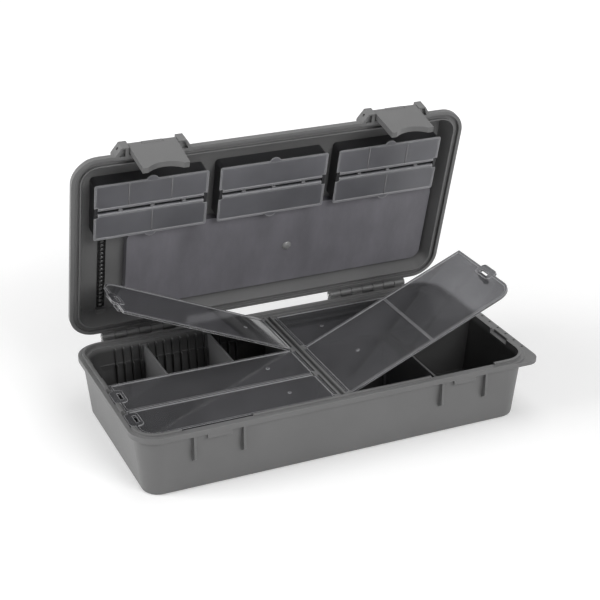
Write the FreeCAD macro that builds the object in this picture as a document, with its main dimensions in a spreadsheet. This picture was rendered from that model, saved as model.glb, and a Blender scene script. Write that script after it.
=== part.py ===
import FreeCAD, Part
import math
import os
import re
import Sketcher

# Hinged tackle box. X runs along the length with 0 at the middle of the tub, Y runs
# from the latches at the front to the hinges at the back, Z is 0 under the tub.
# The lid and what it carries are drawn closed and then turned open about the hinge.

doc = FreeCAD.newDocument("TackleBox")
sheet = doc.addObject("Spreadsheet::Sheet", "Sizes")

SIZES = {
    # tub
    "rim_length": 383, "rim_width": 195.3, "rim_corner": 25, "rim_height": 61,
    "rim_thick": 5, "rim_overhang": 4, "wall_draft": 6, "foot_round": 3.5,
    "floor_thick": 3, "lip_inset": 4, "lip_thick": 2.4, "lip_rise": 2.2,
    "end_inset": 7.4, "front_inset": 6.5, "back_inset": 12.3, "cavity_corner": 18,
    "latch_gap_length": 65,
    # holed flange at the right end of the tub
    "flange_reach": 6.5, "flange_length": 119.2, "flange_corner": 12,
    "flange_step": 1.2, "flange_first_hole": 30, "flange_hole_pitch": 14.57,
    "flange_hole_radius": 1.3, "flange_hole_edge": 2.8,
    # inner walls and slots
    "centre_wall_mid": 1, "centre_wall_thick": 8, "channel_width": 4, "channel_deep": 3,
    "cross_wall_thick": 3, "middle_wall_share": 0.0581, "front_wall_share": 0.2081,
    "rib_thick": 1.2, "rib_pitch": 8, "rib_drop": 2, "upper_rib_proud": 3.95,
    "lower_rib_proud": 7.35, "ledge_height": 43, "ledge_proud": 2.45,
    "cross_rib_out": 1.8,
    # latch guides and catch on the front of the tub
    "latch_share": 0.3086, "fin_thick": 2, "fin_gap": 42.8, "fin_foot": 27,
    "fin_slant": 7, "fin_point": 5.5, "fin_edge_inset": 0.2, "catch_length": 22, "catch_tall": 4.3,
    # lid
    "open_angle": 75, "hinge_out": 6.3, "hinge_rise": 2, "lid_gap": 0.3,
    "lid_end_over": 0.5, "lid_side_over": 0.35, "lid_edge_thick": 4.5, "lid_deep": 20,
    "crown_inset": 4, "crown_slope": 24, "crown_round": 3, "groove_inset": 3.3,
    "groove_width": 4.7, "groove_deep": 3, "recess_inset": 9, "recess_deep": 17.2,
    "recess_slope": 20,
    # hinges
    "hinge_left_share": 0.3094, "hinge_right_share": 0.3071, "hinge_length": 84,
    "knuckle_radius": 4, "knuckle_gap": 0.5, "web_thick": 3.4, "web_root": 3,
    "hinge_pin_radius": 1.5, "pin_clearance": 0.05, "pin_overrun": 0.8, "shelf_thick": 2.2,
    "shelf_past_axis": 2.4,
    # latches
    "latch_out": 4.65, "latch_rise": 6.3, "latch_width": 44, "latch_tip_width": 42,
    "latch_length": 38.6, "latch_thick": 3.2, "latch_face": 3.3, "latch_barrel": 3.5,
    "latch_pin_radius": 1.25, "hook_out": 2.8, "hook_length": 20, "hook_top": 17,
    "hook_tall": 2.6, "scallop_radius": 26, "scallop_deep": 5.5, "notch_length": 20,
    "notch_deep": 1.1, "notch_wide": 4.4, "notch_gap": 0.45, "cheek_deep": 2.4,
    "cheek_thick": 1.8, "cheek_pocket": 1.2, "ear_gap": 0.35, "ear_foot": 13.5,
    "ear_tip": 7, "ear_reach": 8, "ear_tall": 11, "ear_wall": 1.5, "ear_root": 4,
    "ear_hole_in": 3.4, "ear_hole_tip": 2.6, "ear_hole_foot": 6, "ear_hole_length": 7.6,
    # see-through flaps
    "flap_drop": 0.2, "flap_thick": 1.5, "flap_border_rise": 0.7, "flap_border": 2.2,
    "flap_gap": 0.4, "flap_barrel": 1.6, "flap_axis_out": 2.1, "flap_axis_drop": 1.9,
    "flap_pin_radius": 0.9, "flap_lug_length": 2.6, "flap_lug_thick": 3.4,
    "flap_raise_angle": 23.5, "flap_round": 16, "flap_seat_gap": 0.4,
    "flap_end_gap": 0.6, "short_end_gap": 3.6, "flap_side_gap": 3, "tab_length": 23,
    "tab_reach": 4.2, "tab_corner": 4, "tab_room": 2.8, "slot_length": 12,
    "slot_wide": 3, "hook_block_thick": 2.4, "hook_block_tall": 7, "hook_block_length": 14,
    "boss_radius": 3, "boss_out": 1.2, "gate_radius": 1.5, "gate_rise": 0.5,
    "gate_from_hinge": 35, "stiffener_thick": 1.6, "stiffener_tall": 0.3,
    "stiffener_share": 0.506, "back_flap_gap": 2.4,
    # dividers
    "divider_thick": 1.8, "divider_foot_wide": 6, "divider_foot_thick": 1.5,
    "divider_top": 57.8, "divider_fit": 0.35, "divider_lean": 5.1,
    "divider_left_share": 0.3282, "divider_right_share": 0.2454,
    # sheet, stud and beads in the lid
    "panel_left_room": 46.5, "panel_right_room": 7, "panel_back_room": 8,
    "panel_box_gap": 2.6, "panel_thick": 7.8, "panel_corner": 10, "stud_aside": 5.75,
    "stud_back": 1.75, "stud_radius": 4.8, "stud_rise": 2.2, "stud_shank": 1.8,
    "bead_room": 25, "bead_pitch": 4.6, "bead_radius": 3, "bead_strip_wide": 7.4,
    "bead_strip_thick": 1, "seat_wide": 10, "seat_length": 8, "seat_tall": 4.2,
    "seat_gap": 1,
    # bit boxes in the lid
    "box_space": 11.2, "box_end_room": 12.2, "box_front_room": 19.5, "box_width": 58.4,
    "box_corner": 3.5, "box_lid_rise": 0.8, "box_lid_thick": 1.2, "box_lid_edge": 0.6,
    "box_lid_fit": 0.3, "tray_wall": 1.4, "tray_floor": 1.4, "tray_seat": 0.3,
    "box_axis_out": 2.6, "box_axis_deep": 1.7, "box_barrel": 1.3,
    "box_pin_radius": 0.8, "box_border": 1.6, "box_border_rise": 0.5,
    "box_tab_radius": 6, "box_tab_reach": 3.4,
}

for row, (alias, value) in enumerate(SIZES.items(), start=1):
    sheet.set(f"A{row}", alias)
    sheet.set(f"B{row}", str(value))
    sheet.setAlias(f"B{row}", alias)
doc.recompute()

# Places worked out from the sizes above, as text for expressions.
DERIVED = {
    "rim_under": "(rim_height-rim_thick)",
    "drop": "((rim_height-rim_thick)*tan(wall_draft))",
    "cavity_half": "(rim_length/2-end_inset)",
    "cavity_front": "(front_inset-rim_width/2)",
    "cavity_back": "(rim_width/2-back_inset)",
    "cavity_lean": "((rim_height-floor_thick)*tan(wall_draft))",
    "middle_wall_mid": "(rim_width*middle_wall_share)",
    "front_wall_mid": "(-rim_width*front_wall_share)",
    "latch_mid": "(rim_length*latch_share)",
    "hinge_mid_left": "(-rim_length*hinge_left_share)",
    "hinge_mid_right": "(rim_length*hinge_right_share)",
    "hinge_y": "(rim_width/2+hinge_out)",
    "hinge_z": "(rim_height+hinge_rise)",
    "lid_length": "(rim_length+2*lid_end_over)",
    "lid_width": "(rim_width+2*lid_side_over)",
    "lid_foot": "(rim_height+lid_gap)",
    "recess_floor": "(rim_height+lid_gap+recess_deep)",
    "recess_end": "(lid_length/2-recess_inset)",
    "recess_side": "(lid_width/2-recess_inset)",
    "latch_y": "(-rim_width/2-latch_out)",
    "latch_z": "(rim_height+latch_rise)",
    "flap_under": "(rim_height-flap_drop-flap_border_rise-flap_thick)",
    "wall_top": "(rim_height-flap_drop-flap_border_rise-flap_thick-flap_seat_gap)",
    "flap_axis_z": "(rim_height-flap_axis_drop)",
    "flap_length": "(cavity_half-flap_end_gap-centre_wall_thick/2-flap_axis_out)",
    "divider_left": "(-rim_length*divider_left_share)",
    "divider_middle": "(divider_left+8*rib_pitch)",
    "divider_right": "(rim_length*divider_right_share)",
    "box_length": "((2*recess_end-2*box_end_room-2*box_space)/3)",
    "box_pitch": "(box_length+box_space)",
    "box_mid": "(box_width/2+box_front_room-recess_side)",
    "box_face": "(rim_height+box_lid_rise)",
    "tray_mouth": "(rim_height+box_lid_rise+box_lid_thick+box_lid_fit)",
    "tray_foot": "(rim_height+lid_gap+recess_deep-tray_seat)",
    "box_axis_z": "(rim_height+box_lid_rise+box_axis_deep)",
    "panel_face": "(rim_height+lid_gap+recess_deep-panel_thick)",
    "panel_left": "(panel_left_room-recess_end)",
    "panel_right": "(recess_end-panel_right_room)",
    "panel_front": "(box_mid+box_width/2+panel_box_gap)",
    "panel_back": "(recess_side-panel_back_room)",
    "stud_x": "((panel_left+panel_right)/2+stud_aside)",
    "stud_y": "((panel_front+panel_back)/2+stud_back)",
    "bead_x": "(bead_room-recess_end)",
}


def full(text):
    """Spell out derived places and point every alias at the sheet."""
    def word(match):
        name = match.group(0)
        if name in DERIVED:
            return full(DERIVED[name])
        return "Sizes." + name if name in SIZES else name
    return re.sub(r"[a-z][a-z_]*", word, str(text))


def number(text):
    return float(sheet.evalExpression(full(text)))


def drive(thing, prop, text):
    thing.setExpression(prop, full(text))


def new_body(label):
    body = doc.addObject("PartDesign::Body", label)
    body.Label = label
    return body


def sketch_on(body, name, role, height="0"):
    sketch = body.newObject("Sketcher::SketchObject", name)
    plane = [part for part in body.Origin.OriginFeatures if part.Role == role][0]
    sketch.AttachmentSupport = [(plane, "")]
    sketch.MapMode = "FlatFace"
    drive(sketch, "AttachmentOffset.Base.z", height)
    return sketch


def rounded_outline(sketch, left, right, front, back, corners):
    """Rectangle with its sides bound to texts and a text for each corner's radius,
    in the order front right, back right, back left, front left. "0" is a sharp corner."""
    corners = [corners] * 4 if isinstance(corners, str) else corners
    x0, x1, y0, y1 = (number(text) for text in (left, right, front, back))
    radii = [number(text) for text in corners]
    spots = [(x1, y0), (x1, y1), (x0, y1), (x0, y0)]
    ways = [(1, 0), (0, 1), (-1, 0), (0, -1)]
    first = sketch.GeometryCount
    rule = Sketcher.Constraint
    for turn, (way_x, way_y) in enumerate(ways):
        (x_from, y_from), (x_to, y_to) = spots[turn - 1], spots[turn]
        near, far = radii[turn - 1], radii[turn]
        start = FreeCAD.Vector(x_from + way_x * near, y_from + way_y * near, 0)
        end = FreeCAD.Vector(x_to - way_x * far, y_to - way_y * far, 0)
        sketch.addGeometry(Part.LineSegment(start, end))
        sketch.addConstraint(rule(("Horizontal", "Vertical")[turn % 2], first + turn))
    for turn, (way_x, way_y) in enumerate(ways):
        side, following, radius = first + turn, first + (turn + 1) % 4, radii[turn]
        if corners[turn] == "0":
            sketch.addConstraint(rule("Coincident", side, 2, following, 1))
            continue
        x, y = spots[turn]
        centre = FreeCAD.Vector(x - (way_x + way_y) * radius, y + (way_x - way_y) * radius, 0)
        start = math.radians(90 * turn - 90)
        circle = Part.Circle(centre, FreeCAD.Vector(0, 0, 1), radius)
        arc = sketch.addGeometry(Part.ArcOfCircle(circle, start, start + math.pi / 2))
        sketch.addConstraint(rule("Tangent", side, 2, arc, 1))
        sketch.addConstraint(rule("Tangent", arc, 2, following, 1))
        index = sketch.addConstraint(rule("Radius", arc, radius))
        drive(sketch, f"Constraints[{index}]", corners[turn])
    bound = [(rule("DistanceX", -1, 1, first + 3, 1, x0), left),
             (rule("DistanceX", -1, 1, first + 1, 1, x1), right),
             (rule("DistanceY", -1, 1, first, 1, y0), front),
             (rule("DistanceY", -1, 1, first + 2, 1, y1), back)]
    for constraint, text in bound:
        index = sketch.addConstraint(constraint)
        drive(sketch, f"Constraints[{index}]", text)


def polygon_outline(sketch, points):
    """Straight-sided outline whose corners are bound to pairs of texts."""
    spots = [(number(x), number(y)) for x, y in points]
    count = len(spots)
    for turn, (x, y) in enumerate(spots):
        following = spots[(turn + 1) % count]
        start = FreeCAD.Vector(x, y, 0)
        sketch.addGeometry(Part.LineSegment(start, FreeCAD.Vector(*following, 0)))
    for turn in range(count):
        sketch.addConstraint(Sketcher.Constraint("Coincident", turn, 2, (turn + 1) % count, 1))
    for turn, texts in enumerate(points):
        for way, text, value in zip(("DistanceX", "DistanceY"), texts, spots[turn]):
            index = sketch.addConstraint(Sketcher.Constraint(way, -1, 1, turn, 1, value))
            drive(sketch, f"Constraints[{index}]", text)


def circle_outline(sketch, x, y, radius):
    spot = FreeCAD.Vector(number(x), number(y), 0)
    index = sketch.addGeometry(Part.Circle(spot, FreeCAD.Vector(0, 0, 1), number(radius)))
    rule = Sketcher.Constraint
    bound = [(rule("Radius", index, number(radius)), radius),
             (rule("DistanceX", -1, 1, index, 3, number(x)), x),
             (rule("DistanceY", -1, 1, index, 3, number(y)), y)]
    for constraint, text in bound:
        drive(sketch, f"Constraints[{sketch.addConstraint(constraint)}]", text)


def pad(body, sketch, length, taper="0"):
    feature = body.newObject("PartDesign::Pad", sketch.Name + "_pad")
    feature.Profile = sketch
    drive(feature, "Length", length)
    drive(feature, "TaperAngle", taper)
    return feature


def pocket(body, sketch, length, taper="0", upward=False):
    feature = body.newObject("PartDesign::Pocket", sketch.Name + "_pocket")
    feature.Profile = sketch
    feature.Reversed = upward
    drive(feature, "Length", length)
    drive(feature, "TaperAngle", taper)
    return feature


def prism(name, role, points, start, end):
    """Straight prism on an origin plane, from start to end along its normal."""
    body = new_body(name)
    sketch = sketch_on(body, name + "_outline", role, start)
    polygon_outline(sketch, points)
    pad(body, sketch, f"({end})-({start})")
    return body


def block(name, x, y, z):
    """Box between pairs of texts along the three axes."""
    box = doc.addObject("Part::Box", name)
    for prop, axis, (low, high) in zip(("Length", "Width", "Height"), "xyz", (x, y, z)):
        drive(box, prop, f"({high})-({low})")
        drive(box, "Placement.Base." + axis, low)
    return box


def rod(name, axis, radius, length, x, y, z):
    """Cylinder that starts at a point and runs along X, Y or Z."""
    cylinder = doc.addObject("Part::Cylinder", name)
    drive(cylinder, "Radius", radius)
    drive(cylinder, "Height", length)
    turns = {"x": (0, 1, 0, 90), "y": (-1, 1, 1, 120), "z": (0, 0, 1, 0)}
    ax, ay, az, angle = turns[axis]
    cylinder.Placement.Rotation = FreeCAD.Rotation(FreeCAD.Vector(ax, ay, az), angle)
    for way, text in zip("xyz", (x, y, z)):
        drive(cylinder, "Placement.Base." + way, text)
    return cylinder


def ball(name, radius, x, y, z):
    sphere = doc.addObject("Part::Sphere", name)
    drive(sphere, "Radius", radius)
    for way, text in zip("xyz", (x, y, z)):
        drive(sphere, "Placement.Base." + way, text)
    return sphere


def fuse(name, parts):
    joined = doc.addObject("Part::MultiFuse", name)
    joined.Shapes = parts
    joined.Refine = True
    return joined


def cut(name, base, tools):
    left = doc.addObject("Part::Cut", name)
    left.Base = base
    left.Tool = tools[0] if len(tools) == 1 else fuse(name + "_tools", tools)
    left.Refine = True
    return left


def common(name, base, tool):
    shared = doc.addObject("Part::Common", name)
    shared.Base = base
    shared.Tool = tool
    shared.Refine = True
    return shared


def turned(thing, axis, angle, x, y, z):
    """Turn a finished piece about a point, as an expression."""
    drive(thing, "Placement", f"placement(vector(0; 0; 0); "
          f"rotation(vector({axis}); {angle}); vector({x}; {y}; {z}))")
    return thing


def opened(thing):
    """Turn a piece that the lid carries to the open lid."""
    return turned(thing, "1; 0; 0", "-open_angle", "0", "hinge_y", "hinge_z")


def mirrored_sides():
    return (("left", -1), ("right", 1))


PIECES = []


def piece(thing, label):
    thing.Label = label
    PIECES.append(thing)
    return thing


def inset_outline(sketch, length, width, inset, corner):
    rounded_outline(sketch, f"-{length}/2+({inset})", f"{length}/2-({inset})",
                    f"-{width}/2+({inset})", f"{width}/2-({inset})", corner)


# Tub, outside: drafted wall, rim flange, raised lip and the holed end flange.
def tub_outside():
    body = new_body("tub_outside")
    wall = sketch_on(body, "tub_wall", "XY_Plane")
    inset_outline(wall, "rim_length", "rim_width", "rim_overhang+drop",
                  "rim_corner-rim_overhang-drop")
    wall_pad = pad(body, wall, "rim_under", "wall_draft")
    doc.recompute()
    foot = min(range(len(wall_pad.Shape.Faces)),
               key=lambda index: wall_pad.Shape.Faces[index].CenterOfMass.z)
    round_edge = body.newObject("PartDesign::Fillet", "tub_foot_round")
    round_edge.Base = (wall_pad, [f"Face{foot + 1}"])
    drive(round_edge, "Radius", "foot_round")
    rim = sketch_on(body, "tub_rim", "XY_Plane", "rim_under")
    inset_outline(rim, "rim_length", "rim_width", "0", "rim_corner")
    pad(body, rim, "rim_thick")
    flange = sketch_on(body, "tub_flange", "XY_Plane", "rim_under")
    rounded_outline(flange, "rim_length/2-rim_overhang-2*flange_corner",
                    "rim_length/2+flange_reach", "-rim_width/2",
                    "flange_length-rim_width/2", ("flange_corner", "flange_corner", "0", "0"))
    pad(body, flange, "rim_thick-flange_step")
    lip = sketch_on(body, "tub_lip", "XY_Plane", "rim_height")
    inset_outline(lip, "rim_length", "rim_width", "lip_inset", "rim_corner-lip_inset")
    inset_outline(lip, "rim_length", "rim_width", "lip_inset+lip_thick",
                  "rim_corner-lip_inset-lip_thick")
    pad(body, lip, "lip_rise")
    holes = sketch_on(body, "tub_flange_holes", "XY_Plane", "rim_height")
    for turn in range(6):
        circle_outline(holes, "rim_length/2+flange_reach-flange_hole_edge",
                       f"flange_first_hole-rim_width/2+{turn}*flange_hole_pitch",
                       "flange_hole_radius")
    pocket(body, holes, "rim_thick")
    return body


# Tub, inside: the drafted hollow less the walls and ribs that stand in it.
def rib_places():
    """Middles of the slot ribs of the back left bay, counted from a divider slot."""
    return [f"divider_left+({turn}-3.5)*rib_pitch" for turn in range(16)]


def tub_walls():
    mid = "centre_wall_mid"
    half = "centre_wall_thick/2"
    walls = [block("centre_wall", (f"{mid}-{half}", f"{mid}+{half}"),
                   ("-rim_width/2", "rim_width/2"), ("0", "rim_height"))]
    for name, place, side in (("middle_wall_left", "middle_wall_mid", ("-rim_length/2", mid)),
                              ("middle_wall_right", "middle_wall_mid", (mid, "rim_length/2")),
                              ("front_wall_left", "front_wall_mid", ("-rim_length/2", mid))):
        walls.append(block(name, side,
                           (f"{place}-cross_wall_thick/2", f"{place}+cross_wall_thick/2"),
                           ("0", "wall_top")))
    walls.append(block("back_ledge", ("-rim_length/2", mid), ("cavity_back-ledge_proud", "rim_width/2"),
                       ("0", "ledge_height")))
    for turn, place in enumerate(rib_places()):
        wide = (f"{place}-rib_thick/2", f"{place}+rib_thick/2")
        walls.append(block(f"upper_rib_{turn}", wide, ("cavity_back-upper_rib_proud", "rim_width/2"),
                           ("0", "wall_top")))
        walls.append(block(f"lower_rib_{turn}", wide, ("cavity_back-lower_rib_proud", "rim_width/2"),
                           ("0", "ledge_height")))
        walls.append(block(f"cross_rib_{turn}", wide,
                           ("middle_wall_mid", "middle_wall_mid+cross_wall_thick/2+cross_rib_out"),
                           ("0", "wall_top-rib_drop")))
    for name, way in (("near", "-1"), ("far", "1")):
        place = f"divider_right+{way}*rib_pitch/2"
        walls.append(block(f"slot_rib_{name}", (f"{place}-rib_thick/2", f"{place}+rib_thick/2"),
                           ("middle_wall_mid-cross_wall_thick/2-cross_rib_out",
                            "middle_wall_mid"), ("0", "wall_top-rib_drop")))
    return walls


def tub_hollow():
    body = new_body("tub_hollow")
    sketch = sketch_on(body, "hollow_outline", "XY_Plane", "floor_thick")
    rounded_outline(sketch, "centre_wall_mid-cavity_half+cavity_lean",
                    "centre_wall_mid+cavity_half-cavity_lean", "cavity_front+cavity_lean",
                    "cavity_back-cavity_lean", "cavity_corner-cavity_lean")
    pad(body, sketch, "rim_height-floor_thick", "wall_draft")
    return cut("tub_bays", body, tub_walls())


def latch_guides(side, sign):
    """Two fins and the catch bar between them, on the front wall."""
    mid = f"{sign}*latch_mid"
    edge = "fin_edge_inset-rim_width/2"
    inside = "front_inset-rim_width/2"
    made = []
    for name, way in (("outer", sign), ("inner", -sign)):
        fin_mid = f"{mid}+{way}*(fin_gap/2+fin_thick/2)"
        outline = [(edge, "rim_under"), (edge, "fin_foot+fin_slant"),
                   (f"{inside}+fin_slant/2", "fin_foot"), (f"{inside}+fin_slant/2", "rim_under")]
        blade = prism(f"fin_blade_{side}_{name}", "YZ_Plane", outline,
                      f"{fin_mid}-fin_thick/2", f"{fin_mid}+fin_thick/2")
        face = [(f"{fin_mid}-fin_thick/2", "rim_height"),
                (f"{fin_mid}-fin_thick/2", "fin_foot+fin_point"), (fin_mid, "fin_foot"),
                (f"{fin_mid}+fin_thick/2", "fin_foot+fin_point"),
                (f"{fin_mid}+fin_thick/2", "rim_height")]
        dagger = prism(f"fin_face_{side}_{name}", "XZ_Plane", face,
                       f"-({inside}+fin_slant)", "rim_width/2")
        made.append(common(f"fin_{side}_{name}", blade, dagger))
    made.append(prism(f"catch_{side}", "YZ_Plane",
                      [(inside, "rim_under"), (edge, "rim_under"),
                       (edge, "rim_under-catch_tall"), (inside, "rim_under-catch_tall/4")],
                      f"{mid}-catch_length/2", f"{mid}+catch_length/2"))
    return made


def knuckles(side, mid, first, root_low, root_high):
    """Every second knuckle of a hinge of seven, with its web."""
    made = []
    pitch = "hinge_length/7"
    for turn in range(first, 7, 2):
        start = f"{mid}-hinge_length/2+{turn}*{pitch}+knuckle_gap/2"
        made.append(rod(f"knuckle_{side}_{turn}", "x", "knuckle_radius",
                        f"{pitch}-knuckle_gap", start, "hinge_y", "hinge_z"))
        made.append(block(f"web_{side}_{turn}", (start, f"{start}+{pitch}-knuckle_gap"),
                          ("rim_width/2-web_root", "hinge_y"), (root_low, root_high)))
    return made


def hinge_shelf(side):
    """Ledge under the hinge barrel, behind the rim."""
    mid = f"hinge_mid_{side}"
    top = "hinge_z-knuckle_radius-lid_gap"
    return block(f"hinge_shelf_{side}", (f"{mid}-hinge_length/2", f"{mid}+hinge_length/2"),
                 ("rim_width/2-web_root", "hinge_y+shelf_past_axis"),
                 (f"{top}-shelf_thick", top))


def hinge_bores(name):
    return [rod(f"{name}_{side}", "x", "hinge_pin_radius+pin_clearance",
                "hinge_length+4*pin_overrun", f"hinge_mid_{side}-hinge_length/2-2*pin_overrun",
                "hinge_y", "hinge_z") for side, _ in mirrored_sides()]


FLAPS = {
    "back_left": ("-1", "middle_wall_mid+flap_gap/2", "cavity_back-back_flap_gap", "back"),
    "middle_left": ("-1", "front_wall_mid+flap_gap/2", "middle_wall_mid-flap_gap/2", ""),
    "front_left": ("-1", "cavity_front+flap_side_gap", "front_wall_mid-flap_gap/2", "front"),
    "back_right": ("1", "middle_wall_mid+flap_gap/2", "cavity_back-back_flap_gap", "back"),
    "front_right": ("1", "cavity_front+flap_side_gap", "middle_wall_mid-flap_gap/2", "front"),
}
CLIP_SHARES = {"back_left": 0.42, "middle_left": 0.55, "front_left": 0.68,
               "back_right": 0.42, "front_right": 0.466}


def flap_axis(sign):
    return f"(centre_wall_mid+{sign}*(centre_wall_thick/2+flap_axis_out))"


def flap_end(name):
    """The back left flap stops short, clear of the side of the closing lid."""
    gap = "short_end_gap" if name == "back_left" else "flap_end_gap"
    return f"(centre_wall_mid+{FLAPS[name][0]}*(cavity_half-{gap}))"


def flap_outline(sketch, name, inset):
    """Flap outline set in by a text all round, with its one round far corner."""
    sign, front, back, rounded = FLAPS[name]
    near = f"({flap_axis(sign)}+{sign}*({inset}))"
    end = f"({flap_end(name)}-{sign}*({inset}))"
    corners = ["0"] * 4
    order = ("front right", "back right", "back left", "front left")
    if rounded:
        spot = order.index(f"{rounded} {'right' if sign == '1' else 'left'}")
        corners[spot] = f"flap_round-({inset})"
    x = (near, end) if sign == "1" else (end, near)
    rounded_outline(sketch, *x, f"({front})+({inset})", f"({back})-({inset})", corners)


def clip_middle(name):
    _, front, back, _ = FLAPS[name]
    return f"(({front})+(({back})-({front}))*{CLIP_SHARES[name]})"


# Cuts in the rim for the flap tabs, the latch gaps in the lip and the hinge lugs.
def tub_cuts():
    cuts = []
    for side, sign in mirrored_sides():
        mid = f"{sign}*latch_mid"
        cuts.append(block(f"lip_gap_{side}", (f"{mid}-latch_gap_length/2", f"{mid}+latch_gap_length/2"),
                          ("-rim_width/2", "cavity_front+lip_thick"),
                          ("rim_height", "rim_height+2*lip_rise")))
    for name, (sign, *_) in FLAPS.items():
        mid = clip_middle(name)
        near = f"{flap_end(name)}-{sign}*flap_round"
        far = f"{flap_end(name)}+{sign}*(tab_reach+2*flap_gap)"
        cuts.append(block(f"tab_notch_{name}", (near, far) if sign == "1" else (far, near),
                          (f"{mid}-tab_length/2-tab_room", f"{mid}+tab_length/2+tab_room"),
                          ("wall_top", "rim_height+2*lip_rise")))
    mid = "centre_wall_mid"
    cuts.append(block("centre_channel", (f"{mid}-channel_width/2", f"{mid}+channel_width/2"),
                      ("cavity_front", "cavity_back"),
                      ("rim_height-channel_deep", "rim_height+lip_rise")))
    return cuts


def flap_lugs(name, sign, front, back):
    """Two bored lugs on the centre wall that carry one flap."""
    face = f"(centre_wall_mid+{sign}*centre_wall_thick/2)"
    far = f"(centre_wall_mid+{sign}*(centre_wall_thick/2+flap_axis_out+flap_barrel))"
    x = (face, far) if sign == "1" else (far, face)
    made = []
    for end, low in (("front", front), ("back", f"({back})-flap_lug_thick")):
        made.append(block(f"lug_{name}_{end}", x, (low, f"({low})+flap_lug_thick"),
                          ("flap_axis_z-2*flap_barrel", "rim_height")))
    return made


def tub():
    solids = [tub_outside()]
    for side, sign in mirrored_sides():
        solids += latch_guides(side, sign)
        solids += knuckles(side, f"hinge_mid_{side}", 0, "rim_height-web_thick", "rim_height")
        solids.append(hinge_shelf(side))
    shell = cut("tub_shell", fuse("tub_solid", solids), [tub_hollow()])
    lugs = []
    bores = []
    for name, (sign, front, back, _) in FLAPS.items():
        lugs += flap_lugs(name, sign, front, back)
        bores.append(rod(f"flap_bore_{name}", "y", "flap_pin_radius+pin_clearance",
                         f"({back})-({front})-2*flap_lug_thick+2*flap_lug_length",
                         flap_axis(sign), f"({front})+flap_lug_thick-flap_lug_length",
                         "flap_axis_z"))
    whole = fuse("tub_with_lugs", [shell] + lugs)
    return piece(cut("base_tub", whole, tub_cuts() + bores + hinge_bores("base_hinge_bore")),
                 "base_tub")


# See-through flaps, drawn closed: plate, raised border, barrel with stub pins,
# finger tab with its slot, hook block with a boss, and the gate mark.
def flap(name):
    sign, front, back, _ = FLAPS[name]
    axis = flap_axis(sign)
    far = flap_end(name)

    def across(near, end):
        return (near, end) if sign == "1" else (end, near)

    under, over = "flap_under", "flap_under+flap_thick"
    body = new_body(f"flap_plate_{name}")
    plate = sketch_on(body, f"flap_outline_{name}", "XY_Plane", under)
    flap_outline(plate, name, "0")
    pad(body, plate, "flap_thick+flap_border_rise")
    dish = sketch_on(body, f"flap_dish_{name}", "XY_Plane", over)
    flap_outline(dish, name, "flap_border")
    pocket(body, dish, "2*flap_border_rise", upward=True)
    solids = [body]
    mid = clip_middle(name)
    tab = new_body(f"flap_tab_{name}")
    tab_sketch = sketch_on(tab, f"flap_tab_outline_{name}", "XY_Plane", under)
    rounded_outline(tab_sketch, *across(f"({far})-{sign}*2*tab_corner", f"({far})+{sign}*tab_reach"),
                    f"{mid}-tab_length/2", f"{mid}+tab_length/2", "tab_corner")
    pad(tab, tab_sketch, "flap_thick+flap_border_rise")
    solids.append(tab)
    hook_x = f"(({far})-{sign}*(flap_border+slot_wide))"
    solids.append(block(f"flap_hook_{name}", across(f"{hook_x}-{sign}*hook_block_thick", hook_x),
                        (f"{mid}-hook_block_length/2", f"{mid}+hook_block_length/2"),
                        (f"{under}-hook_block_tall", over)))
    boss_start = f"{hook_x}-{sign}*(hook_block_thick+boss_out)" if sign == "1" else hook_x
    solids.append(rod(f"flap_boss_{name}", "x", "boss_radius", "hook_block_thick+boss_out",
                      boss_start, f"{mid}-hook_block_length/2+boss_radius",
                      f"{under}-hook_block_tall+boss_radius"))
    solids.append(rod(f"flap_gate_{name}", "z", "gate_radius", "gate_rise",
                      f"({axis})+{sign}*gate_from_hinge", f"(({front})+({back}))/2", over))
    if name == "front_right":
        rib = f"({axis})+{sign}*flap_length*stiffener_share"
        solids.append(block(f"flap_stiffener_{name}", (f"{rib}-stiffener_thick/2",
                                                       f"{rib}+stiffener_thick/2"),
                            (f"({front})+flap_border", f"({back})-flap_border"),
                            (f"{under}-stiffener_tall", f"{over}+gate_rise")))
    barrel_start = f"({front})+flap_lug_thick+flap_gap"
    barrel_length = f"({back})-({front})-2*flap_lug_thick-2*flap_gap"
    solids.append(rod(f"flap_barrel_{name}", "y", "flap_barrel", barrel_length, axis,
                      barrel_start, "flap_axis_z"))
    whole = fuse(f"flap_whole_{name}", solids)
    tools = [block(f"flap_slot_{name}", across(hook_x, f"{hook_x}+{sign}*slot_wide"),
                   (f"{mid}-slot_length/2", f"{mid}+slot_length/2"),
                   (f"{under}-gate_rise", "rim_height+flap_border_rise"))]
    for end, low in (("front", front), ("back", f"({back})-flap_lug_thick-flap_gap")):
        tools.append(block(f"flap_lug_room_{name}_{end}",
                           across("centre_wall_mid", f"({axis})+{sign}*(flap_barrel+3*flap_gap)"),
                           (f"({low})-(flap_gap)", f"({low})+flap_lug_thick+flap_gap"
                            if end == "front" else f"({back})+flap_gap"),
                           (f"{under}-3*flap_barrel", "rim_height+flap_border_rise")))
    trimmed = cut(f"flap_trimmed_{name}", whole, tools)
    pins = rod(f"flap_pins_{name}", "y", "flap_pin_radius",
               f"({back})-({front})-2*flap_lug_thick+2*flap_lug_length-2*flap_gap", axis,
               f"({front})+flap_lug_thick-flap_lug_length+flap_gap", "flap_axis_z")
    done = fuse(f"flap_{name}", [trimmed, pins])
    if name == "back_left":
        turned(done, "0; 1; 0", "flap_raise_angle", axis, "0", "flap_axis_z")
    if name == "front_right":
        turned(done, "0; -1; 0", "flap_raise_angle", axis, "0", "flap_axis_z")
    return piece(done, f"flap_{name}")


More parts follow.
